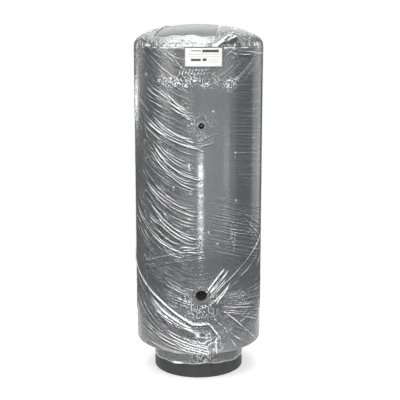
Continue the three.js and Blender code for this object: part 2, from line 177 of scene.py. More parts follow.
# ---------- material helpers ----------
class Look:
    """A node material under construction, round one Principled shader."""

    def __init__(self, name, rough, metal=0.0, **sockets):
        self.material = bpy.data.materials.new(name)
        self.material.use_nodes = True
        self.tree = self.material.node_tree
        self.shader = self.tree.nodes["Principled BSDF"]
        self.shader.inputs["Roughness"].default_value = rough
        self.shader.inputs["Metallic"].default_value = metal
        for socket, value in sockets.items():
            self.shader.inputs[socket.replace("_", " ")].default_value = value
        self.place = self.add("ShaderNodeTexCoord").outputs["Object"]

    def add(self, kind, **inputs):
        node = self.tree.nodes.new(kind)
        for socket, value in inputs.items():
            self.feed(node.inputs[socket.replace("_", " ")], value)
        return node

    def feed(self, socket, value):
        if isinstance(value, bpy.types.NodeSocket):
            self.tree.links.new(value, socket)
        else:
            socket.default_value = value

    def stretched(self, scale):
        mapping = self.add("ShaderNodeMapping", Vector=self.place)
        mapping.inputs["Scale"].default_value = scale
        return mapping.outputs["Vector"]

    def noise(self, scale, detail=4.0, rough=0.55, stretch=None):
        vector = self.stretched(stretch) if stretch else self.place
        node = self.add("ShaderNodeTexNoise", Vector=vector, Scale=scale, Detail=detail, Roughness=rough)
        return node.outputs["Fac"]

    def cells(self, scale):
        node = self.add("ShaderNodeTexVoronoi", Vector=self.place, Scale=scale)
        return node.outputs["Distance"]

    def attribute(self, name):
        node = self.add("ShaderNodeAttribute")
        node.attribute_name = name
        return node.outputs["Fac"]

    def remap(self, value, low, high, from_low=0.3, from_high=0.7):
        node = self.add("ShaderNodeMapRange", Value=value)
        ends = {"From Min": from_low, "From Max": from_high, "To Min": low, "To Max": high}
        for socket, number in ends.items():
            node.inputs[socket].default_value = number
        return node.outputs["Result"]

    def between(self, factor, first, second):
        node = self.tree.nodes.new("ShaderNodeMix")
        node.data_type = "RGBA"
        self.feed(node.inputs["Factor"], factor)
        for socket, colour in ((node.inputs[6], first), (node.inputs[7], second)):
            self.feed(socket, (*colour, 1) if isinstance(colour, tuple) else colour)
        return node.outputs[2]

    def mottled(self, scale, detail, dark, light):
        """A colour that wanders between a dark and a light one."""
        return self.between(self.remap(self.noise(scale, detail), 0, 1), dark, light)

    def combine(self, first, second, operation="ADD"):
        node = self.tree.nodes.new("ShaderNodeMath")
        node.operation = operation
        self.feed(node.inputs[0], first)
        self.feed(node.inputs[1], second)
        return node.outputs[0]

    def bump(self, height, distance, strength=1.0, under=None):
        node = self.add("ShaderNodeBump", Height=height, Strength=strength, Distance=distance)
        if under is not None:
            self.feed(node.inputs["Normal"], under)
        return node.outputs["Normal"]

    def finish(self, colour, normal, rough, alpha=1.0):
        ends = {"Base Color": colour, "Normal": normal, "Roughness": rough, "Alpha": alpha}
        for socket, value in ends.items():
            self.feed(self.shader.inputs[socket], value)
        return self.material

    def worn(self, colour, relief, distance, strength, scale, detail, smoothest, roughest):
        """Finishes the material with a relief, and a roughness that follows a noise of a scale and detail."""
        rough = self.remap(self.noise(scale, detail), smoothest, roughest)
        return self.finish(colour, self.bump(relief, distance, strength), rough)


def vinyl():
    """Embossed grey vinyl, with a fine leather-like grain and faint scuffs."""
    look = Look("vinyl", 0.35)
    colour = look.mottled(3, 5, (0.15, 0.153, 0.158), (0.19, 0.193, 0.198))
    return look.worn(colour, look.cells(900), 0.0002, 0.3, 40, 3, 0.26, 0.4)


def foot_paint():
    """Dark grey powder coat, a little dusty towards the floor."""
    look = Look("foot_paint", 0.5)
    height = look.add("ShaderNodeSeparateXYZ", Vector=look.place).outputs["Z"]
    dust = look.combine(look.remap(height, 0.35, 0.0, 0.0, 0.06), look.remap(look.noise(18, 5), -0.1, 0.25))
    colour = look.between(dust, (0.022, 0.0225, 0.0235), (0.055, 0.054, 0.052))
    return look.worn(colour, look.noise(450, 2), 0.0006, 0.5, 25, 4, 0.5, 0.7)


def enamel():
    """Dark blue-grey glass enamel, thick and wavy."""
    look = Look("enamel", 0.25)
    colour = look.mottled(9, 6, (0.035, 0.055, 0.09), (0.06, 0.085, 0.125))
    return look.worn(colour, look.noise(60, 3), 0.0015, 0.6, 22, 3, 0.18, 0.38)


def steel():
    """Bare machined steel with fine turning marks and dull spots."""
    look = Look("steel", 0.35, 0.95)
    turning = look.noise(420, 2, stretch=(1, 6, 1))
    colour = look.mottled(30, 5, (0.36, 0.365, 0.37), (0.55, 0.55, 0.55))
    return look.worn(colour, turning, 0.0004, 0.5, 55, 4, 0.28, 0.5)


def mill_scale_and_shade():
    """The dark scale that weld heat and tempering leave on a steel socket, made darker still as painted shade
    for the deep holes the sockets sit in.
    """
    look = Look("mill_scale_and_shade", 0.55, 0.4)
    colour = look.mottled(45, 6, (0.018, 0.018, 0.02), (0.05, 0.048, 0.046))
    return look.worn(colour, look.noise(300, 4), 0.0004, 0.6, 70, 4, 0.45, 0.7)


def plastic(name, dark, light, rough):
    """Moulded plastic with a faint texture and handling marks."""
    look = Look(name, rough)
    colour = look.mottled(35, 5, dark, light)
    return look.worn(colour, look.noise(900, 2), 0.0003, 0.5, 60, 4, rough - 0.08, rough + 0.1)


def rubber():
    """Matte black rubber with a dusty bloom."""
    look = Look("rubber", 0.8)
    colour = look.mottled(80, 5, (0.012, 0.012, 0.012), (0.035, 0.034, 0.033))
    return look.worn(colour, look.noise(700, 3), 0.0005, 0.6, 90, 3, 0.7, 0.9)


def foam():
    """Open-celled grey foam."""
    look = Look("foam", 0.95)
    colour = look.mottled(14, 5, (0.24, 0.24, 0.24), (0.36, 0.36, 0.355))
    return look.worn(colour, look.cells(420), 0.002, 0.8, 200, 2, 0.85, 1.0)


def magnesium():
    """Cast grey magnesium, dull and pitted."""
    look = Look("magnesium", 0.55, 0.7)
    colour = look.mottled(40, 6, (0.33, 0.34, 0.345), (0.5, 0.5, 0.5))
    return look.worn(colour, look.cells(260), 0.0008, 0.6, 50, 4, 0.45, 0.7)


def paper():
    """White label paper, faintly fibrous."""
    look = Look("label_paper", 0.55)
    colour = look.mottled(260, 4, (0.86, 0.86, 0.85), (0.95, 0.95, 0.94))
    return look.worn(colour, look.noise(1200, 3), 0.0002, 0.4, 120, 3, 0.48, 0.65)


def label_ink():
    """Black ink, a little worn."""
    look = Look("label_ink", 0.5)
    colour = look.mottled(500, 4, (0.02, 0.02, 0.02), (0.09, 0.09, 0.09))
    return look.worn(colour, look.noise(900, 2), 0.0001, 0.3, 200, 2, 0.4, 0.6)


def film():
    """Clear stretch film: white on its folds, part haze of the bunched film and part painted highlight, with
    painted shade in the hollows beside them; clearest where slack is -1.
    """
    look = Look("film", 0.12, IOR=1.5, Coat_Weight=1.0, Coat_Roughness=0.1)
    look.shader.inputs["Specular IOR Level"].default_value = 0.9
    crease = look.attribute("crease")
    slack = look.attribute("slack")
    # The crease attribute is paint: white is the folds' haze and painted highlight, dark is the painted shade
    # beside them.
    white = look.remap(crease, 0, 1, 0, 1)
    dark = look.remap(crease, 1, 0, -1, 0)
    haze = look.noise(7, 6, 0.6)
    lines = look.noise(60, 5, 0.6, stretch=(1, 1, 5))
    lit = look.between(white, (0.08, 0.081, 0.084), (0.93, 0.935, 0.94))
    colour = look.between(dark, lit, (0.012, 0.012, 0.014))
    veil = look.combine(look.remap(haze, 0.34, 0.44), look.remap(lines, -0.03, 0.04))
    clear = look.combine(veil, look.remap(slack, 1, 0.12, 0, -1), "MULTIPLY")
    folded = look.combine(look.combine(white, 0.95, "MULTIPLY"), look.combine(dark, 0.7, "MULTIPLY"))
    alpha = look.combine(clear, folded)
    alpha.node.use_clamp = True
    wrinkles = look.bump(look.noise(26, 5, 0.6, stretch=(1, 1, 4)), 0.004, look.remap(slack, 0.02, 0.5, 0, 1))
    fine = look.bump(lines, 0.0012, look.remap(slack, 0.04, 0.5, 0, 1), wrinkles)
    return look.finish(colour, fine, look.remap(haze, 0.1, 0.24), alpha)


VINYL = vinyl()
FOOT_PAINT = foot_paint()
STEEL = steel()
SCALE_AND_SHADE = mill_scale_and_shade()
GREY_PLASTIC = plastic("grey_plastic", (0.17, 0.172, 0.176), (0.22, 0.222, 0.226), 0.35)
BLACK_PLASTIC = plastic("black_plastic", (0.008, 0.008, 0.008), (0.02, 0.02, 0.02), 0.35)
# Near-white, so that the pull bar also serves as a painted glint in the dark hole.
GLINT_WHITE_PLASTIC = plastic("glint_white_plastic", (0.8, 0.8, 0.8), (0.88, 0.88, 0.88), 0.35)
FOAM = foam()
PAPER = paper()
INK = label_ink()
FILM = film()
SLOTS = {
    "grey_vinyl": VINYL,
    "foot_paint": FOOT_PAINT,
    "vessel_enamel": enamel(),
    "bare_steel": STEEL,
    "grey_plastic": GREY_PLASTIC,
    "black_plastic": BLACK_PLASTIC,
    "rubber": rubber(),
    "foam": FOAM,
    "magnesium": magnesium(),
    "label_paper": PAPER,
    "clear_film": FILM,
}


def dress_frame():
    """Gives every CAD node the material of its slot in the record."""
    for part in RECORD["subparts"]:
        node = frame["nodes"][part["node"]]
        if not node.material_slots:
            node.data.materials.append(None)
        for slot in node.material_slots:
            slot.material = SLOTS[part["material_slot"]]


# ---------- jacket, lid and foot ----------
SKIN = 0.0012  # the vinyl's thickness
CORNER = 0.012  # radius of the jacket's bottom edge
WELL = 0.045  # radius of the hole through the foam pad


def jacket_skin():
    """The vinyl skin as a smooth sheet, rounded at its bottom edge and turned in under the foam."""
    hem = FOOT.x + 0.008
    corner = (RADIUS - CORNER, SKIN_BOTTOM + CORNER)
    profile = [(hem + (corner[0] - hem) * t, SKIN_BOTTOM) for t in np.linspace(0, 1, 9)[:-1]]
    profile += fillet(corner, CORNER, -90, 0, 5)
    profile += [(RADIUS, z) for z in np.linspace(corner[1], SKIN_TOP, 168)[1:]]
    profile = np.array(profile)
    columns = 256
    angle = np.linspace(-math.pi, math.pi, columns, endpoint=False)
    points = around(profile[:, :1], profile[:, 1:], angle[None, :]).reshape(-1, 3)
    points, faces, _ = punch(points, quads(len(profile), columns, True), lambda port: port.hole)
    skin = make_object("vinyl_skin", points, faces, VINYL)
    thicken(skin, SKIN)
    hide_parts("jacket_skin")


LID_RISE = LID_HIGH.z - LID_LOW.z


def dome(across, rise, angles):
    """Points of the lid's elliptical outline, from its rim at 0 to its crown at a right angle."""
    return [(max(across * math.cos(a), 0.0004), LID_LOW.z + rise * math.sin(a)) for a in angles]


def lid():
    """The lid: a smooth hollow dome, open below."""
    wall = 0.0025
    angles = np.radians(np.linspace(0, 90, 40))
    profile = dome(LID_HIGH.x, LID_RISE, angles) + dome(LID_HIGH.x - wall, LID_RISE - wall, angles[::-1])
    shell = revolve("lid_dome", profile, VINYL, "lid", 192)
    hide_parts("lid_shell")


def foam_pad():
    """The foam pad over the vessel's top end, with softened edges and a well in its middle for the anode."""
    low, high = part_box("top_insulation")
    seat = SKIN_TOP + 0.0003
    # The underside follows an ellipse over the vessel's top end, from just above the ellipse's middle.
    across, rise = 0.2515, 0.0915
    start = math.radians(4)
    middle = low.z - rise * math.sin(start)
    brow = high.x - 0.025
    profile = [(brow - 0.004, high.z), (brow - 0.0005, high.z - 0.0012), (brow + 0.0025, high.z - 0.0029)]
    profile += [(high.x - 0.003, high.z - 0.0225), (high.x - 0.0009, high.z - 0.0255)]
    profile += [(high.x, high.z - 0.029), (high.x, seat), (across - 0.0006, seat)]
    underside = np.linspace(start, math.acos(WELL / across), 9)
    profile += [(across * math.cos(a), middle + rise * math.sin(a)) for a in underside]
    profile += [(WELL, high.z - 0.002), (WELL + 0.002, high.z)]
    pad = revolve("foam_pad", profile[::-1], FOAM)
    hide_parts("top_insulation")


def foot_ring():
    """The foot ring: rolled steel strip with an inward flange and a rounded bend."""
    wall = 0.005
    flange = 0.025
    bend = 0.006
    outside = FOOT.x
    profile = fillet((outside - bend, bend), bend, -90, 0)
    profile += fillet((outside - 0.0008, FOOT.z - 0.0008), 0.0008, 0, 90, 2)
    profile += [(outside - wall, FOOT.z)]
    profile += [(outside - wall, wall + 0.001), (outside - wall - 0.001, wall)]
    profile += [(outside - flange, wall), (outside - flange, 0)]
    ring = revolve("foot", profile, FOOT_PAINT, columns=192)
    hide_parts("foot_ring")


# ---------- connections ----------
THREAD_DEPTH = 0.0011
THREAD_PITCH = 0.0023


def flipped(faces, turn_over):
    """The faces, wound the other way where turn_over is set."""
    return faces[:, ::-1] if turn_over else faces


def socket(port):
    """A socket with its female pipe thread, cut as a helix, and a chamfer at its mouth."""
    columns = 48
    chamfer = 0.0012
    depth = np.arange(port.near, port.face - chamfer, THREAD_PITCH / 4)
    angle = circle(columns)[None, :]
    turn = depth[:, None] / THREAD_PITCH - angle / (2 * math.pi)
    groove = THREAD_DEPTH * np.abs(2 * (turn % 1) - 1)
    bore = port.bore + groove
    rings = [np.full((1, columns), port.bore + chamfer), np.full((1, columns), port.socket - chamfer / 2)]
    rings += [np.full((1, columns), port.socket)] * 2
    radii = np.concatenate([bore, *rings, bore[:1]])
    tail = [port.face, port.face, port.face - chamfer / 2, port.near, depth[0]]
    points = about_port(port, radii, angle, np.concatenate([depth, tail])[:, None])
    faces = flipped(quads(len(radii), columns, True), port.side > 0)
    # Near-black: the socket's scale together with painted shade of the deep hole.
    piece = make_object(f"{port.name}_thread", points, faces, SCALE_AND_SHADE)
    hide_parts(f"{port.name}_socket")


def collar(port):
    """A collar that follows the jacket's curve, with a rolled outer edge and a lip into the hole."""
    columns = 96
    rise = 0.0023
    depth = -0.006
    gap = 0.0003
    inner = port.hole - 0.0001
    outer = port.collar
    lip = inner + 0.0012
    loop = [(inner, depth), (inner, rise * 0.7), (inner + 0.0008, rise), (outer - 0.002, rise)]
    loop += [(outer - 0.0006, rise * 0.75), (outer, gap), (lip, gap), (lip, depth)]
    loop = np.array(loop + loop[:1])
    angle = circle(columns)
    wall = np.sqrt(RADIUS**2 - (loop[:, :1] * np.cos(angle)) ** 2)
    points = about_port(port, loop[:, :1], angle, wall + loop[:, 1:])
    faces = flipped(quads(len(loop), columns, True), port.side > 0)
    piece = make_object(f"{port.name}_ring", points, faces, GREY_PLASTIC)
    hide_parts(f"{port.name}_collar")


def heater_plug():
    """The blanking plug: threaded side, a raised rim, and a hexagon recess."""
    port = FRONT_PORTS["heater"]
    low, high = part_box("heater_plug")
    near, far = -high.y, -low.y
    radius = (high.x - low.x) / 2
    columns = 72
    angle = circle(columns)
    half_key = 0.011
    key = half_key / np.cos((angle + math.pi / 6) % (math.pi / 3) - math.pi / 6)
    recess = far - 0.014
    full = np.ones(columns)
    rings = [(0.0003 * full, recess), (key * 0.999, recess), (key, far - 0.001), (key + 0.001, far)]
    rings += [(0.0165 * full, far), (0.017 * full, far - 0.0015), (0.0195 * full, far - 0.0015)]
    rings += [(0.020 * full, far), (radius * full - 0.0008, far), (radius * full, far - 0.0012)]
    for step in np.arange(far - 0.002, near + 0.0075, -THREAD_PITCH / 4):
        turn = (step / THREAD_PITCH + angle / 2 / math.pi) % 1
        rings += [(radius - 0.0009 * np.abs(2 * turn - 1), step)]
    rings += [(0.019 * full, near + 0.007), (0.019 * full, near + 0.0028), (radius * full, near + 0.0027)]
    rings += [(radius * full, near), (0.0003 * full, near)]
    radii = np.array([ring for ring, _ in rings])
    along = np.array([distance for _, distance in rings])[:, None]
    points = about_port(port, radii, angle, along)
    faces = quads(len(rings), columns, True)
    plug = make_object("blanking_plug", points, faces, BLACK_PLASTIC, "heater_plug")
    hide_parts("heater_plug")


def thermometer_cap():
    """The pocket's push-in cap: a domed head with a pull bar."""
    port = FRONT_PORTS["thermometer"]
    low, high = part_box("thermometer_cap")
    stem_end = -high.y
    head = -low.y - 0.004
    radius = (high.x - low.x) / 2
    columns = 40
    profile = [(0.0003, stem_end), (0.0052, stem_end), (0.006, stem_end + 0.002), (0.006, head - 0.003)]
    profile += [(radius - 0.0004, head - 0.003), (radius, head - 0.0024), (radius - 0.0006, head - 0.0008)]
    profile += [(radius - 0.003, head), (0.0003, head + 0.0004)]
    loop = np.array(profile + profile[:1])
    points = about_port(port, loop[:, :1], circle(columns), loop[:, 1:])
    faces = flipped(quads(len(loop), columns, True), port.side < 0)
    cap = make_object("pocket_cap", points, faces, BLACK_PLASTIC, "thermometer_cap")
    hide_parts("thermometer_cap")
    pull_bar(port, head)


def pull_bar(port, head):
    """The pale bar across the cap's head, a loop to pull by, rounded all over; its white plastic also stands
    in as a painted glint in the hole.
    """
    rows, columns = 15, 16
    tilt = math.radians(42)
    share = np.linspace(-1, 1, rows)[:, None]
    ring = circle(columns)[None, :]
    width = 0.0023 * np.sqrt(np.clip(1 - share**6, 0.0005, 1))
    along = 0.0054 * share + 0 * ring
    across = width * np.cos(ring) + 0.0042
    out = head + 0.0013 + width * 1.1 * np.sin(ring)
    x = along * math.cos(tilt) + across * math.sin(tilt)
    z = port.z + along * math.sin(tilt) - across * math.cos(tilt)
    points = np.stack([x, -out, z], -1).reshape(-1, 3)
    bar = make_object("pocket_cap_bar", points, quads(rows, columns, True), GLINT_WHITE_PLASTIC, "thermometer_cap")


# ---------- label and closure ----------
def patch(low_angle, high_angle, low, high, radius, columns, rows):
    """A curved rectangle on the jacket, as points and faces."""
    angle = np.linspace(low_angle, high_angle, columns)
    height = np.linspace(low, high, rows)[:, None]
    points = around(radius, height, angle[None, :]).reshape(-1, 3)
    return points, quads(rows, columns, False)


# Bars and rules on the label: left and right ends, then lower and upper ends, as shares of the label.
LABEL_BARS = [(0.46, 0.9, 0.76, 0.9), (0.16, 0.42, 0.82, 0.86)]
LABEL_BARS += [(0.16, 0.42, 0.3, 0.42), (0.47, 0.57, 0.3, 0.44)]
LABEL_BARS += [(0.08, 0.93, 0.66, 0.672), (0.08, 0.93, 0.52, 0.53)]
LABEL_BARS += [(0.6, 0.9, 0.36, 0.37), (0.6, 0.9, 0.24, 0.25)]


def rating_label():
    """The label's paper, and a generic layout of bars and rules on it."""
    low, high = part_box("rating_label")
    left = math.asin(low.x / RADIUS)
    right = math.asin(high.x / RADIUS)
    face = RADIUS + 0.0006
    points, faces = patch(left, right, low.z, high.z, face, 40, 20)
    sheet = make_object("label_sheet", points, faces, PAPER)
    thicken(sheet, 0.0003)
    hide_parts("rating_label")
    bars = []
    for x0, x1, z0, z1 in LABEL_BARS:
        ends = [left + (right - left) * share for share in (x0, x1)]
        levels = [low.z + (high.z - low.z) * share for share in (z0, z1)]
        bars.append(patch(*ends, *levels, face + 0.0001, 16, 3))
    starts = np.cumsum([0] + [len(bar_points) for bar_points, _ in bars])
    points = np.concatenate([bar_points for bar_points, _ in bars])
    faces = np.concatenate([bar_faces + start for (_, bar_faces), start in zip(bars, starts)])
    printed = make_object("label_print", points, faces, INK)


def closure_strip():
    """The strip that closes the jacket at the back: two lips with a row of hooked teeth between them."""
    low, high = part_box("jacket_closure_strip")
    middle = math.atan2((low.x + high.x) / 2, -(low.y + high.y) / 2)
    half = 0.0148 / RADIUS
    face = RADIUS + 0.0004
    tooth = 0.012
    columns, rows = 21, 360
    across = np.linspace(-1, 1, columns)[None, :]
    height = np.linspace(low.z + 0.001, high.z - 0.001, rows)[:, None]
    lips = 0.0009 * np.exp(-(((np.abs(across) - 0.62) / 0.22) ** 2))
    hooked = 0.5 + 0.5 * np.sign(np.sin(height * 2 * math.pi / tooth))
    teeth = 0.0007 * np.exp(-((across / 0.2) ** 2)) * hooked
    points = around(face + lips + teeth, height, middle + across * half).reshape(-1, 3)
    strip = make_object("closure", points, quads(rows, columns, False), GREY_PLASTIC)
    thicken(strip, 0.0012)
    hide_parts("jacket_closure_strip")


# ---------- stretch wrap ----------
FILM_RADIUS = RADIUS + 0.0014
BANDS = 5
BAND_ROWS = 136
RNG = np.random.default_rng(7)


def film_angles():
    """The film's columns in degrees from the front: close together in front, wider apart behind."""
    front = np.linspace(-100, 100, 480, endpoint=False)
    behind = np.linspace(100, 260, 240, endpoint=False)
    return np.concatenate([front, behind])


class Sheet:
    """Wrinkles painted on a sheet of film, at each point of a grid of angle and height.

    out is how far the film stands out, in metres. white runs from -1 in a dark hollow, a painted shade, to 1
    on a white fold, whose white is part film haze and part painted highlight.
    """

    def __init__(self, angles, heights):
        self.angles = angles
        self.heights = heights
        self.out = np.zeros((len(heights), len(angles)))
        self.white = np.zeros_like(self.out)

    def line(self, start, end, bend, tall, wide, white, fades=(0.2, 0.12)):
        """One crease from (degrees, height) to another, flattening towards its end where bend > 1."""
        span = end[0] - start[0]
        middle_angle = (start[0] + end[0]) / 2
        turn = (self.angles - middle_angle + 180) % 360 - 180
        share = turn / span + 0.5
        columns = np.flatnonzero((share >= 0) & (share <= 1))
        if len(columns) < 2:
            return
        along = share[columns]
        drop = end[1] - start[1]
        beat = RNG.uniform(0, 6.28, 3)
        middle = start[1] + drop * (1 - (1 - along) ** bend)
        middle = middle + 0.0012 * np.sin(9 * along + beat[0]) + 0.0005 * np.sin(31 * along + beat[1])
        slope = drop * bend * np.maximum(1 - along, 0.02) ** (bend - 1) / (math.radians(abs(span)) * RADIUS)
        fade = np.clip(np.minimum(along / fades[0], (1 - along) / fades[1]), 0, 1)
        fade = fade * (0.7 + 0.3 * np.sin(9 * along + beat[2]))
        stretch = np.sqrt(1 + slope**2)
        reach = 5 * wide * stretch.max()
        near = (self.heights > middle.min() - reach) & (self.heights < middle.max() + reach)
        rows = np.flatnonzero(near)
        if len(rows) < 2:
            return
        away = (self.heights[rows][:, None] - middle) / stretch / wide
        where = np.ix_(rows, columns)
        hollow = np.exp(-((away + 2.0) ** 2))
        self.out[where] += tall * (np.exp(-(away**2)) - 0.4 * hollow) * fade
        # The fold is painted white, part haze and part painted highlight, and the hollow beside it gets
        # painted shade.
        self.white[where] += white * (np.exp(-((away / 0.85) ** 2)) - 0.75 * hollow) * fade

    def sweep(self, start, end, last_start, last_end, bend, count, tall, wide=0.0026, white=0.95):
        """A family of creases, from one between start and end to one between last_start and last_end."""
        ends = np.array([start, end])
        change = np.array([last_start, last_end]) - ends
        spacing = math.hypot(change[0, 1], change[0, 0] * 0.005) / count
        for share in np.linspace(0, 1, count):
            stray = RNG.uniform(-1, 1, 4)
            shift = 0.3 * spacing * stray[1]
            (angle, height), (last_angle, last_height) = ends + change * share
            first = (angle + 3 * stray[0], height + shift)
            last = (last_angle + 3 * stray[2], last_height + shift + 0.002 * stray[3])
            size = 0.35 + 0.85 * RNG.uniform() ** 1.2
            self.line(first, last, bend, tall * size, wide * RNG.uniform(0.8, 1.15), white * size)

    def spot(self, angle, height, wide, tall):
        """How near each point is to a place on the film, from 1 there to 0 far away. Sizes in metres."""
        turn = (self.angles[None, :] - angle + 180) % 360 - 180
        across = np.radians(turn) * RADIUS / wide
        up = (self.heights[:, None] - height) / tall
        return np.exp(-(across**2) - up**2)

    def noise(self, wide, tall, lift, seed):
        """Smooth noise from -1 to 1, with cells of wide by tall metres, following a lifted line."""
        cells = max(3, round(2 * math.pi * RADIUS / wide))
        place = (self.angles[None, :] / 360) * cells
        level = (self.heights[:, None] - lift) / tall
        place, level = np.broadcast_arrays(place, level)
        lowest = math.floor(level.min())
        rows = math.ceil(level.max()) - lowest + 3
        table = np.random.default_rng(100 + seed).uniform(-1, 1, (rows, cells))
        column = np.floor(place).astype(int)
        row = np.floor(level).astype(int)
        across = eased(place - column)
        up = eased(level - row)
        left = column % cells
        right = (column + 1) % cells
        row = row - lowest
        low = table[row, left] * (1 - across) + table[row, right] * across
        high = table[row + 1, left] * (1 - across) + table[row + 1, right] * across
        return low * (1 - up) + high * up

    def net(self, wide, tall, lift, seed):
        """Noise rescaled so that the lines where it is zero are all about as wide."""
        field = self.noise(wide, tall, lift, seed)
        up = np.gradient(field, axis=0) / np.gradient(self.heights)[:, None]
        across = np.gradient(field, axis=1) / (np.gradient(np.radians(self.angles)) * RADIUS)[None, :]
        return field / np.maximum(np.hypot(up, across) * tall, 0.4)

    def crumple(self, where, cell, tall, white, slant, seed):
        """A net of small sharp creases, of a cell size in metres, strongest where the mask says."""
        lift = -slant * RADIUS * np.sin(np.radians(self.angles))
        field = self.net(cell, cell, lift, seed)
        second = self.net(cell * 0.6, cell * 0.6, -lift, seed + 50)
        ridge = np.exp(-((field / 0.15) ** 2)) + 0.6 * np.exp(-((second / 0.14) ** 2))
        hollow = np.exp(-(((field - 0.35) / 0.15) ** 2))
        patchy = 0.55 + 0.9 * np.clip(np.abs(second), 0, 0.8)
        self.out += tall * ridge * where
        # Painted highlight on the ridges and painted shade in the hollows, in patches.
        self.white += white * where * (ridge - 0.15 - 0.5 * hollow) * patchy

    def streaks(self, where, wide, tall, lift, height, white, seed):
        """Fine creases that all run along one curve, lift being that curve's height at each angle."""
        strength = 0.5 + 0.5 * self.noise(wide * 1.5, tall * 4, lift, seed + 20)
        field = self.net(wide, tall, lift, seed)
        # Each fine crease is painted white, with painted shade beside it.
        ridge = np.exp(-((field / 0.17) ** 2)) - 0.7 * np.exp(-(((field - 0.36) / 0.15) ** 2))
        self.out += height * ridge * where * strength
        self.white += white * ridge * where * strength


def eased(share):
    """A share from 0 to 1, levelled off at both ends."""
    return share * share * (3 - 2 * share)


def soft_step(value, low, high):
    """0 below low, 1 above high, and a smooth rise between them."""
    return eased(np.clip((value - low) / (high - low), 0, 1))


def paint_upper_front(wrap):
    """The creases above the middle: they hang from the left and are drawn in to the upper connection."""
    wrap.sweep((-50, 1.665), (-20, 1.57), (-34, 1.675), (-14, 1.575), 0.8, 9, 0.0014, 0.0026, 0.5)
    wrap.sweep((-52, 1.53), (-14, 1.395), (-60, 1.44), (-7, 1.325), 1.0, 15, 0.0022, 0.0025, 0.8)
    wrap.sweep((-34, 1.475), (-14, 1.385), (-30, 1.40), (-5, 1.33), 1.1, 8, 0.003, 0.003, 1.2)
    wrap.sweep((-52, 1.375), (-7, 1.245), (-58, 1.325), (2, 1.19), 1.5, 13, 0.0026, 0.0026, 1.1)
    wrap.sweep((-66, 1.33), (-46, 1.20), (-70, 1.22), (-50, 1.10), 1.2, 7, 0.0018, 0.0026, 0.6)
    wrap.sweep((13, 1.235), (-4, 1.2), (15, 1.28), (-2, 1.25), 1.3, 5, 0.0018, 0.0028, 0.7)
    wrap.sweep((-47, 1.262), (-3, 1.105), (-48, 1.17), (0, 0.995), 1.8, 15, 0.0028, 0.0026, 1.15)
    wrap.sweep((30, 1.668), (66, 1.648), (34, 1.65), (62, 1.64), 1.6, 2, 0.0022, 0.0032, 0.9)
    wrap.line((24, 1.665), (33, 1.647), 1.6, 0.002, 0.003, 0.8)
    wrap.line((33, 1.647), (84, 1.647), 1.0, 0.0022, 0.003, 1.0)
    wrap.sweep((20, 1.52), (84, 1.51), (24, 1.42), (84, 1.40), 1.0, 9, 0.001, 0.003, 0.3)
    wrap.sweep((48, 1.27), (78, 1.22), (44, 1.10), (72, 1.04), 1.0, 12, 0.001, 0.0026, 0.45)
    wrap.sweep((34, 1.60), (84, 1.585), (30, 1.56), (84, 1.54), 1.0, 4, 0.001, 0.0028, 0.3)


def paint_middle_front(wrap):
    """The long hanging creases across the middle, and the flatter ones that rise under them."""
    wrap.sweep((-66, 1.13), (-4, 0.915), (-62, 1.0), (-4, 0.80), 1.6, 9, 0.0028, 0.0026, 0.95)
    wrap.sweep((-56, 0.96), (-3, 0.765), (-44, 0.86), (-6, 0.725), 1.6, 9, 0.0028, 0.0028, 1.15)
    wrap.sweep((-78, 1.0), (-12, 0.72), (-80, 0.88), (-14, 0.66), 1.8, 11, 0.0026, 0.0026, 0.95)
    wrap.sweep((-80, 0.86), (-50, 0.71), (-78, 0.80), (-40, 0.66), 1.4, 4, 0.0022, 0.003, 0.8)
    wrap.sweep((-74, 0.60), (-6, 0.70), (-60, 0.57), (4, 0.655), 1.5, 8, 0.0014, 0.0028, 0.5)
    wrap.sweep((-22, 0.712), (-1, 0.714), (-18, 0.69), (0, 0.688), 1.0, 4, 0.003, 0.0032, 1.3)
    wrap.sweep((-34, 0.555), (-9, 0.48), (-32, 0.455), (-8, 0.42), 1.3, 10, 0.0024, 0.0026, 0.9)
    wrap.sweep((2, 0.90), (40, 0.84), (4, 0.74), (44, 0.70), 1.0, 10, 0.001, 0.0026, 0.35)
    wrap.sweep((40, 0.88), (80, 0.76), (42, 0.78), (76, 0.62), 1.1, 12, 0.0012, 0.0026, 0.5)


def fill_left(wrap):
    """Thin creases all the way down the left, evenly spread between the stronger families."""
    wrap.sweep((-52, 1.60), (-6, 1.46), (-60, 1.42), (-4, 1.31), 1.1, 12, 0.0014, 0.0023, 0.5)
    wrap.sweep((-62, 1.46), (-4, 1.30), (-66, 1.08), (-4, 0.90), 1.5, 24, 0.0018, 0.0023, 0.62)
    wrap.sweep((-68, 1.10), (-4, 0.90), (-80, 0.84), (-5, 0.68), 1.6, 18, 0.0018, 0.0023, 0.62)
    wrap.sweep((-70, 0.70), (-24, 0.60), (-66, 0.58), (-20, 0.50), 1.2, 8, 0.0012, 0.0024, 0.4)


def fill_right(wrap):
    """Faint creases across the right, level above and falling away from the highlight below."""
    wrap.sweep((24, 1.50), (86, 1.48), (22, 1.02), (86, 0.98), 1.0, 28, 0.0008, 0.0022, 0.36)
    wrap.sweep((5, 0.98), (84, 0.86), (5, 0.70), (84, 0.56), 1.0, 24, 0.0010, 0.0023, 0.46)


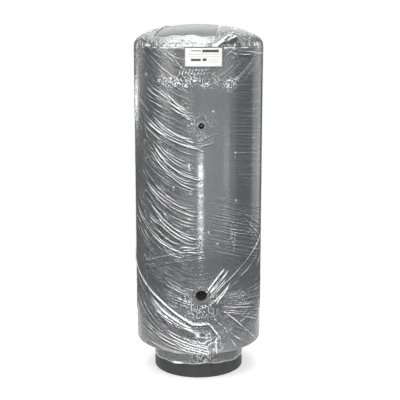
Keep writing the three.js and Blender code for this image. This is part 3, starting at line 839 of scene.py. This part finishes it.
def paint_lower_front(wrap):
    """The heavy fold under the lower connection, the bunched film round it, and the fan at its right."""
    wrap.line((-122, 0.718), (-7, 0.318), 1.0, 0.006, 0.0052, 2.2, (0.26, 0.015))
    wrap.line((-112, 0.681), (-20, 0.352), 1.0, 0.003, 0.003, 1.0, (0.3, 0.1))
    wrap.line((-56, 0.445), (-2, 0.285), 1.1, 0.001, 0.019, 0.36)
    wrap.line((-46, 0.375), (4, 0.255), 1.2, 0.001, 0.014, 0.28)
    wrap.line((-9, 0.318), (7.5, 0.32), 1.0, 0.0045, 0.005, 1.9, (0.05, 0.05))
    wrap.line((7, 0.32), (14.5, 0.262), 1.0, 0.004, 0.0036, 1.6, (0.05, 0.05))
    wrap.line((15, 0.07), (13, 0.262), 1.0, 0.002, 0.003, 1.1)
    wrap.sweep((-54, 0.455), (-10, 0.305), (-50, 0.37), (-4, 0.265), 1.1, 13, 0.0035, 0.0028, 1.2)
    wrap.sweep((-84, 0.58), (-36, 0.36), (-86, 0.42), (-36, 0.22), 1.2, 14, 0.002, 0.0026, 0.65)
    wrap.sweep((-66, 0.32), (-4, 0.21), (-58, 0.20), (6, 0.13), 1.5, 15, 0.0026, 0.0026, 0.95)
    wrap.sweep((-34, 0.285), (4, 0.215), (-26, 0.205), (9, 0.145), 1.3, 11, 0.0034, 0.003, 1.4)
    wrap.sweep((2, 0.475), (22, 0.605), (8, 0.40), (27, 0.50), 1.0, 9, 0.003, 0.003, 1.3)
    wrap.line((0.5, 0.452), (21, 0.60), 1.1, 0.004, 0.0036, 1.8)
    wrap.line((12, 0.415), (25, 0.505), 1.0, 0.004, 0.0036, 1.8)
    wrap.line((17, 0.505), (86, 0.75), 1.25, 0.0028, 0.0032, 1.2)
    wrap.line((30, 0.52), (84, 0.69), 1.1, 0.002, 0.003, 0.8)
    wrap.line((60, 0.56), (86, 0.66), 1.0, 0.002, 0.003, 0.8)
    wrap.line((14, 0.41), (62, 0.18), 1.0, 0.003, 0.0032, 0.9)
    wrap.line((8, 0.36), (40, 0.2), 1.0, 0.002, 0.003, 0.6)
    wrap.line((20, 0.30), (34, 0.17), 1.0, 0.002, 0.003, 0.6)
    wrap.sweep((14, 0.47), (84, 0.47), (15, 0.375), (78, 0.25), 0.75, 26, 0.0020, 0.0024, 0.95)
    wrap.sweep((22, 0.35), (80, 0.20), (20, 0.27), (60, 0.15), 1.0, 6, 0.0014, 0.0026, 0.5)


def fill_low(wrap):
    """Short creases drawn in to the lower connection from its left."""
    wrap.sweep((-36, 0.56), (-7, 0.49), (-34, 0.42), (-6, 0.37), 1.2, 14, 0.0018, 0.0024, 0.8)
    wrap.crumple(wrap.spot(-13, 0.45, 0.05, 0.05), 0.011, 0.0014, 0.7, 0.6, 72)


def paint_sides(wrap):
    """Creases round the back, hanging from both sides and drawn in to the rear connections."""
    for level in (1.58, 1.48, 1.33, 1.18, 1.01, 0.88, 0.755, 0.60, 0.46, 0.335, 0.24):
        for side in (-1, 1):
            outer = 180 + side * RNG.uniform(50, 82)
            inner = 180 + side * RNG.uniform(3, 16)
            rise = min(RNG.uniform(0.10, 0.26), 1.66 - level)
            spread = RNG.uniform(0.05, 0.10)
            count = int(RNG.integers(4, 8))
            bend = RNG.uniform(1.4, 2.0)
            first = (outer, level + rise), (inner, level + 0.02)
            last = (outer + side * 6, level + rise - spread), (inner, level + 0.02 - 0.8 * spread)
            wrap.sweep(*first, *last, bend, count, 0.0022, 0.0028, 0.8)
    for angle in range(76, 130, 9):
        level = RNG.uniform(0.3, 1.5)
        first = (angle - 14, level), (angle + 16, level + 0.05)
        last = (angle - 12, level - 0.03), (angle + 18, level)
        wrap.sweep(*first, *last, 1.2, 3, 0.0014, 0.0026, 0.5)


def bunches(wrap):
    """Crumpled places: below the label, round the connections, at the foot and at the right."""
    low = wrap.heights[0]
    for angle in range(-36, 33, 6):
        height = 1.515 + 0.014 * math.sin(angle * 1.7)
        wrap.crumple(wrap.spot(angle, height, 0.028, 0.024), 0.012, 0.0018, 1.15, 0.3, angle)
    # Each place's angle, height and size, then its net's cell, relief, white, slant and seed.
    places = [
        (-13, 1.535, 0.07, 0.03, 0.014, 0.002, 1.2, 0.8, 61),
        (25, 1.50, 0.028, 0.028, 0.012, 0.002, 1.6, 0.2, 60),
        (-2, 1.31, 0.045, 0.045, 0.013, 0.0018, 0.7, 0.5, 62),
        (0, 0.41, 0.13, 0.085, 0.014, 0.002, 0.9, 0.5, 63),
        (2, 0.215, 0.11, 0.065, 0.013, 0.0024, 1.35, 0.4, 64),
        (-24, 0.325, 0.09, 0.035, 0.015, 0.0026, 1.3, 0.9, 65),
        (-4, 0.15, 0.10, 0.03, 0.014, 0.0012, 0.9, 0.4, 68),
        (4, low + 0.035, 0.09, 0.04, 0.013, 0.0012, 1.0, 0.4, 69),
        (29, 0.76, 0.022, 0.08, 0.013, 0.0014, 0.8, 0.9, 66),
        (40, 0.45, 0.03, 0.04, 0.012, 0.0016, 1.0, 0.9, 67),
    ]
    for angle, height, wide, tall, *net in places:
        wrap.crumple(wrap.spot(angle, height, wide, tall), *net)
    knots = [(-31, 1.52), (-26, 1.535), (-19, 1.515), (-13, 1.50), (-5, 1.525), (4, 1.51), (23, 1.505)]
    for angle, height in knots:
        wrap.white += 0.9 * wrap.spot(angle, height, 0.009, 0.005)
    for step in range(9):
        wrap.line((-16 + 2.6 * step, 1.596), (-19 + 2.6 * step, 1.548), 1.0, 0.0014, 0.0024, 0.7)
    wrap.white += 0.12 * wrap.spot(-6, low + 0.04, 0.25, 0.05) + 0.32 * wrap.spot(-2, 0.18, 0.12, 0.06)
    bubbles = [(10, 1.38), (-24, 1.01), (31, 1.175), (32, 0.94), (6, 0.79), (14, 0.73), (-54, 1.14)]
    for angle, height in bubbles:
        wrap.white += 0.8 * wrap.spot(angle, height, 0.005, 0.004)
        wrap.crumple(wrap.spot(angle, height - 0.012, 0.014, 0.012), 0.008, 0.0008, 0.7, 0.2, 200 + angle)
    for port in PORTS:
        facing = 0 if port.side < 0 else 180
        wrap.crumple(wrap.spot(facing, port.z, 0.06, 0.05), 0.014, 0.0016, 0.6, 0.4, 70 + round(port.z * 10))


def over_collars(wrap):
    """Lifts the film onto each connection's collar, smooth where it is stretched across, with a painted
    highlight on the upper side of each hole's edge.
    """
    for port in PORTS:
        facing = 0 if port.side < 0 else 180
        turn = (wrap.angles[None, :] - facing + 180) % 360 - 180
        away = np.hypot(np.radians(turn) * RADIUS, wrap.heights[:, None] - port.z)
        share = 1 - soft_step(away, port.collar + 0.001, port.collar + 0.011)
        wrap.out = wrap.out * (1 - share) + share * (0.0019 + 0.15 * np.clip(wrap.out, 0, 0.003))
        # A painted highlight along the upper side of the hole's edge.
        rim = np.exp(-(((away - port.hole - 0.004) / 0.0025) ** 2))
        upper = soft_step(wrap.heights[:, None], port.z - 0.01, port.z + 0.02)
        wrap.white = wrap.white * (1 - 0.6 * share) + 0.2 * rim * upper


def edges(wrap):
    """The film's white hem and seam, a painted glint on the hem at the front left, the way it lies flat on
    the label, and a painted shadow along the label's right and lower edges. Gives where the label is.
    """
    hem = np.exp(-(((wrap.heights[:, None] - wrap.heights[0]) / 0.006) ** 2))
    wrap.white += hem * 0.35
    # A painted glint on the hem at the front left.
    wrap.white += wrap.spot(-30, wrap.heights[0] + 0.004, 0.03, 0.005) * 1.6
    seam = np.exp(-(((wrap.heights[:, None] - wrap.heights[-1]) / 0.006) ** 2))
    wrap.white += seam * (0.55 + 0.9 * wrap.noise(0.022, 0.01, 0, 91))
    low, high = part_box("rating_label")
    left, right = np.degrees(np.arcsin(np.array([low.x, high.x]) / RADIUS))
    across = soft_step(wrap.angles, left - 0.7, left + 0.7)
    across = across * soft_step(-wrap.angles, -right - 0.7, -right + 0.7)
    over = across[None, :] * soft_step(wrap.heights, low.z - 0.004, low.z + 0.003)[:, None]
    wrap.white *= 1 - 0.92 * over
    wrap.out *= 1 - 0.8 * over
    # A painted shadow along the label's right and lower edges.
    beside = np.exp(-(((wrap.angles - right - 0.9) / 0.6) ** 2)) * (wrap.heights[:, None] > low.z - 0.004)
    below = across[None, :] * np.exp(-(((wrap.heights[:, None] - low.z + 0.005) / 0.0032) ** 2))
    wrap.white -= 0.9 * beside + below * (0.6 + 0.7 * wrap.noise(0.016, 0.02, 0, 93))
    return over


def wrap_lines():
    """The whole body wrap's wrinkles, a painted highlight bar down the front, and how slack the film is at
    each point.
    """
    wrap = Sheet(film_angles(), WRAP_PATH[:, 2])
    turn = (wrap.angles[None, :] + 180) % 360 - 180
    level = wrap.heights[:, None]
    taut = soft_step(turn, -10, -4) * (1 - soft_step(turn, 88, 120))
    smooth = taut * soft_step(level, 0.50, 0.66) * (1 - soft_step(level, 1.47, 1.56))
    slack = 1 - smooth
    low = 1 - 0.35 * (1 - soft_step(level, 0.45, 0.75))
    wrap.white += 0.04 * slack * np.exp(-(((turn + 14) / 16) ** 2)) * low
    radians = np.radians(wrap.angles)
    hanging = 0.13 * (1 - np.cos(2 * radians + 0.1))
    falling = -0.16 * np.sin(radians)
    right = smooth * soft_step(turn, 20, 50)
    below = smooth * (1 - soft_step(level, 0.72, 0.9))
    wrap.streaks(slack * low, 0.13, 0.0135, hanging, 0.0013, 0.62, 1)
    wrap.streaks(slack * low, 0.06, 0.009, hanging * 0.8, 0.0007, 0.36, 2)
    wrap.streaks(right, 0.10, 0.012, 0.03 * np.sin(radians), 0.0003, 0.22, 3)
    wrap.streaks(below, 0.08, 0.012, falling, 0.0003, 0.26, 4)
    wrap.crumple(slack * 0.5 * low, 0.018, 0.0006, 0.18, 0.7, 2)
    # A painted highlight: a pale vertical bar down the front, where the front strip light shows in the film's
    # gloss.
    bar = np.exp(-(((turn + 0.4) / 2.3) ** 4)) * soft_step(level, 0.6, 0.85)
    bar = bar * (1 - soft_step(level, 1.1, 1.18))
    wrap.white += bar * (0.12 + 0.4 * np.clip(wrap.noise(0.06, 0.012, 0, 95), -0.1, 1))
    paint_upper_front(wrap)
    paint_middle_front(wrap)
    fill_left(wrap)
    fill_right(wrap)
    paint_lower_front(wrap)
    paint_sides(wrap)
    bunches(wrap)
    fill_low(wrap)
    over_collars(wrap)
    slack = slack + 0 * wrap.out
    slack -= (1 + slack) * edges(wrap)
    return wrap, slack


def film_path():
    """The film's line from its hem on the foot ring, under the jacket's edge and up to the seam.

    Each row holds radius, height, and distance along the film, counted so that it is the height on the wall.
    """
    foot = FOOT.x + 0.0016
    out = FILM_RADIUS
    low = SKIN_BOTTOM
    knots = [(foot, WRAP_HEM), (foot, low - 0.032), (foot + 0.006, low - 0.018), (foot + 0.03, low - 0.006)]
    knots += [(out - CORNER - 0.006, low - 0.0024), (out - 0.005, low + 0.0015), (out - 0.001, low + 0.007)]
    knots += [(out, low + CORNER + 0.003), (out, SKIN_TOP)]
    knots = np.array(knots)
    lengths = np.concatenate([[0], np.cumsum(np.hypot(*np.diff(knots, axis=0).T))])
    steps = np.linspace(0, lengths[-1], BANDS * BAND_ROWS + 1)
    radius = np.interp(steps, lengths, knots[:, 0])
    height = np.interp(steps, lengths, knots[:, 1])
    for _ in range(6):
        radius[1:-1] = (radius[:-2] + 2 * radius[1:-1] + radius[2:]) / 4
        height[1:-1] = (height[:-2] + 2 * height[1:-1] + height[2:]) / 4
    return np.stack([radius, height, steps - lengths[-1] + SKIN_TOP], -1)


WRAP_PATH = film_path()


def film_piece(name, points, faces, white, slack, body="tank"):
    """A piece of film, with its creases' whiteness (part haze, part painted highlight), their painted shade
    and its slackness stored at its points.
    """
    piece = make_object(name, points, faces, FILM, body)
    for kind, values in (("crease", white), ("slack", slack)):
        layer = piece.data.attributes.new(kind, "FLOAT", "POINT")
        layer.data.foreach_set("value", np.ascontiguousarray(values, dtype=np.float32))
    return piece


def body_wrap():
    """The film on the jacket, in bands that meet edge to edge."""
    wrap, slack = wrap_lines()
    out = np.clip(wrap.out, -0.0006, 0.0085)
    white = np.clip(wrap.white, -1, 1)
    radians = np.radians(wrap.angles)[None, :]
    slope = np.gradient(WRAP_PATH[:, :2], axis=0)
    normal = np.stack([slope[:, 1], -slope[:, 0]], -1)
    normal /= np.linalg.norm(normal, axis=1, keepdims=True)
    radius = WRAP_PATH[:, :1] + normal[:, :1] * out
    height = WRAP_PATH[:, 1:2] + normal[:, 1:] * out
    hem = 0.015 * (1 - np.cos(radians)) - 0.003 * np.sin(5 * radians + 1) - 0.002 * np.sin(13 * radians)
    free = SKIN_BOTTOM - 0.02
    share = np.clip((free - WRAP_PATH[:, 1:2]) / (free - WRAP_HEM), 0, 1)
    points = around(radius, height - hem * share, radians)
    for band in range(BANDS):
        low, high = band * BAND_ROWS, (band + 1) * BAND_ROWS
        rows = slice(low, high + 1)
        faces = quads(BAND_ROWS + 1, len(wrap.angles), True)
        kept, faces, used = punch(points[rows].reshape(-1, 3), faces, lambda port: port.hole + 0.0015)
        name = f"stretch_film_{band + 1}"
        piece = film_piece(name, kept, faces, white[rows].reshape(-1)[used], slack[rows].reshape(-1)[used])
        if band == BANDS // 2:
            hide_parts("body_wrap")


# The straight edges of the lid film's opening: the way each one faces, and its distance from the middle.
OPENING = [((-1.0, 0.25), 0.167), ((1.0, -0.216), 0.127), ((0.15, 1.0), 0.22), ((-0.7, 0.7), 0.22)]


def opening_reach(radians):
    """How far the lid film's opening reaches from the lid's middle at each angle."""
    x = np.sin(radians)
    y = -np.cos(radians)
    reach = np.full(len(radians), 0.297)
    for (nx, ny), away in OPENING:
        toward = (x * nx + y * ny) / math.hypot(nx, ny)
        reach = np.minimum(reach, np.where(toward > 0.05, away / np.maximum(toward, 0.05), 1))
    return reach - 0.004 + 0.006 * np.sin(radians * 7) + 0.004 * np.sin(radians * 19 + 1)


def paint_lid(wrap, share):
    """The lid film's creases: gathered white in front, crumpled on the shoulders, smoother at the right, with
    broad painted highlights over the front, the sides and the smooth place at the right.
    """
    everywhere = np.ones_like(wrap.out)
    smooth = wrap.spot(42, 0.012, 0.085, 0.012)
    wrap.crumple(everywhere * 0.6 * (1 - smooth), 0.026, 0.0016, 0.4, 0.6, 31)
    wrap.crumple(everywhere * 0.6 * (1 - smooth), 0.013, 0.0009, 0.5, 0.3, 32)
    front = wrap.spot(-14, 0.08, 0.19, 0.2)
    wrap.streaks(front, 0.07, 0.03, 0, 0.0018, 0.55, 33)
    wrap.streaks(wrap.spot(-2, 0.06, 0.07, 0.1), 0.04, 0.03, 0, 0.002, 0.6, 36)
    wrap.crumple(wrap.spot(52, 0.08, 0.14, 0.08), 0.012, 0.0016, 0.8, 0.4, 34)
    wrap.crumple(wrap.spot(-52, 0.06, 0.14, 0.09), 0.015, 0.0016, 0.6, 0.4, 35)
    # Broad painted highlights in front, at the right and left, and on the smooth place at the right; in front
    # they are also the haze of gathered film.
    wrap.white += front * 0.5 + wrap.spot(-2, 0.05, 0.08, 0.1) * 0.3
    right = wrap.spot(62, 0.09, 0.16, 0.09)
    left = wrap.spot(-54, 0.08, 0.12, 0.1)
    wrap.white += right * 0.3 + left * 0.15 + smooth * 0.22
    wrap.line((9, 0.0), (37, 0.03), 1.0, 0.0016, 0.006, 1.6, (0.05, 0.1))
    wrap.line((12, 0.006), (34, 0.045), 1.0, 0.0016, 0.006, 1.0)
    wrap.line((16, 0.02), (40, 0.07), 1.0, 0.0016, 0.006, 0.7)
    for angle in range(75, 280, 12):
        wrap.line((angle, 0.02), (angle + 26, 0.15), 1.2, 0.0020, 0.0035, 0.6)
        wrap.line((angle + 20, 0.03), (angle - 4, 0.13), 1.4, 0.0016, 0.0035, 0.5)
    gather = np.exp(-(((share - 1) / 0.05) ** 2))
    seam = np.exp(-((share / 0.02) ** 2))
    beads = np.clip(0.2 + wrap.noise(0.014, 0.05, 0, 92), 0, 1)
    wrap.out += gather * 0.002
    wrap.white += gather * 0.6 + seam * beads * (0.35 + 0.65 * wrap.spot(-20, 0, 0.4, 1))


def lid_wrap():
    """The film folded over the lid's shoulder, with an opening of straight edges in the middle."""
    rows = 130
    angles = film_angles()
    radians = np.radians(angles)
    reach = np.minimum(opening_reach(radians), 0.302)
    share = np.linspace(0, 1, rows)[:, None]
    rim = LID_HIGH.x
    radius = np.sqrt(np.clip(rim**2 - share**0.8 * (rim**2 - reach[None, :] ** 2), 0, None))
    height = LID_LOW.z + LID_RISE * np.sqrt(1 - np.clip(radius / rim, 0, 1) ** 2)
    wrap = Sheet(angles, np.linspace(0, 0.16, rows))
    paint_lid(wrap, share)
    out = 0.0014 + np.clip(wrap.out, -0.0005, 0.007) * np.clip(share * 20, 0, 1)
    slope = (radius / rim**2) / np.maximum(height - LID_LOW.z, 1e-4) * LID_RISE**2
    size = np.hypot(1, slope)
    radius = radius + out * slope / size
    height = np.maximum(height + out / size, LID_LOW.z)
    points = around(radius, height, radians[None, :]).reshape(-1, 3)
    faces = quads(rows, len(angles), True)
    white = np.clip(wrap.white, -1, 1).reshape(-1)
    piece = film_piece("stretch_film_lid", points, faces, white, np.full(len(white), 0.8), "lid")
    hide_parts("lid_wrap")


# ---------- studio ----------
def floor():
    """A plain pale floor."""
    look = Look("studio_floor", 0.7, Emission_Color=(1, 1, 1, 1), Emission_Strength=0.36)
    colour = look.mottled(2, 3, (0.93, 0.93, 0.93), (0.95, 0.95, 0.95))
    material = look.worn(colour, look.noise(30, 2), 0.0005, 0.2, 5, 2, 0.6, 0.8)
    half = 0.95
    corners = [(-half, -half, 0), (half, -half, 0), (half, half, 0), (-half, half, 0)]
    mesh = bpy.data.meshes.new("floor")
    mesh.from_pydata(corners, [], [(0, 1, 2, 3)])
    mesh.materials.append(material)
    place("floor", mesh)


def area_light(name, width, tall, brightness):
    """An area light that the camera doesn't see, as bright at any size."""
    light = bpy.data.lights.new(name, "AREA")
    light.shape = "RECTANGLE"
    light.size = width
    light.size_y = tall
    light.energy = brightness * math.pi * width * tall
    lamp = place(name, light)
    lamp.visible_camera = False
    return lamp


def softbox(name, azimuth, distance, height, width, tall, brightness, aim=1.0, colour=(1, 1, 1)):
    """A light that faces the tank at the height aim. Azimuth is in degrees from the front, towards +X."""
    lamp = area_light(name, width, tall, brightness)
    lamp.data.color = colour
    angle = math.radians(azimuth)
    lamp.location = (distance * math.sin(angle), -distance * math.cos(angle), height)
    lamp.rotation_euler = (math.pi / 2 - math.atan2(height - aim, distance), 0, angle)


def studio():
    """Plain soft studio light: keys at both sides, panels that show in the film's gloss, and an overhead."""
    softbox("key_left", -55, 3.2, 2.15, 1.6, 2.4, 3.6, 1.2)
    softbox("panel_left", -17.5, 2.5, 1.1, 1.3, 1.7, 1.5, 1.1)
    softbox("strip_front", 1.1, 2.2, 0.60, 0.33, 0.76, 6.5, 0.60)
    softbox("panel_right", 24, 2.3, 1.02, 2.29, 1.65, 1.7, 1.02)
    softbox("panel_far", 56, 2.3, 1.02, 0.5, 1.65, 0.8, 1.02)
    softbox("side_left", -125, 3.0, 1.6, 1.9, 0.7, 0.9, 1.5)
    softbox("strip_right", 45, 2.15, 0.88, 0.4, 0.45, 1.5, 0.88)
    softbox("key_right", 50, 2.6, 2.3, 1.2, 0.8, 4.0, 1.5)
    softbox("rim_right", 122, 3.0, 1.3, 1.9, 2.4, 1.1)
    softbox("rim_left", -142, 3.0, 1.2, 1.0, 0.26, 5.0, 1.2)
    softbox("rim_blue", 168, 3.0, 1.2, 0.3, 0.7, 3.0, 1.2, (0.45, 0.45, 1.0))
    softbox("back", 180, 3.4, 3.5, 3.6, 2.4, 1.6)
    area_light("overhead", 5, 5, 2.6).location = (-0.6, -0.6, 5.2)
    surroundings()


def surroundings():
    """A dim white world that the camera sees as plain white."""
    world = bpy.data.worlds.new("studio")
    bpy.context.scene.world = world
    world.use_nodes = True
    tree = world.node_tree
    glow = tree.nodes["Background"]
    backdrop = tree.nodes.new("ShaderNodeBackground")
    for node in (glow, backdrop):
        node.inputs["Color"].default_value = (1, 1, 1, 1)
    glow.inputs["Strength"].default_value = 0.15
    seen = tree.nodes.new("ShaderNodeLightPath")
    mix = tree.nodes.new("ShaderNodeMixShader")
    tree.links.new(seen.outputs["Is Camera Ray"], mix.inputs[0])
    tree.links.new(glow.outputs[0], mix.inputs[1])
    tree.links.new(backdrop.outputs[0], mix.inputs[2])
    tree.links.new(mix.outputs[0], tree.nodes["World Output"].inputs["Surface"])
    bpy.context.scene.view_settings.view_transform = "Standard"


def camera():
    """The photograph's view: nearly level with the lid, looking down at the middle of the tank."""
    distance = 4.66
    height = 1.787
    azimuth = math.radians(-2.4)
    tilt = math.radians(10.92)
    yaw = math.radians(0.095)
    data = bpy.data.cameras.new("camera")
    data.sensor_width = 36
    data.lens = 81.9
    eye = place("camera", data)
    eye.location = (distance * math.sin(azimuth), -distance * math.cos(azimuth), height)
    eye.rotation_euler = (math.pi / 2 - tilt, 0, azimuth - yaw)
    bpy.context.scene.camera = eye


dress_frame()
jacket_skin()
lid()
foam_pad()
foot_ring()
for each_port in PORTS:
    socket(each_port)
    collar(each_port)
heater_plug()
thermometer_cap()
rating_label()
closure_strip()
body_wrap()
lid_wrap()
floor()
studio()
camera()
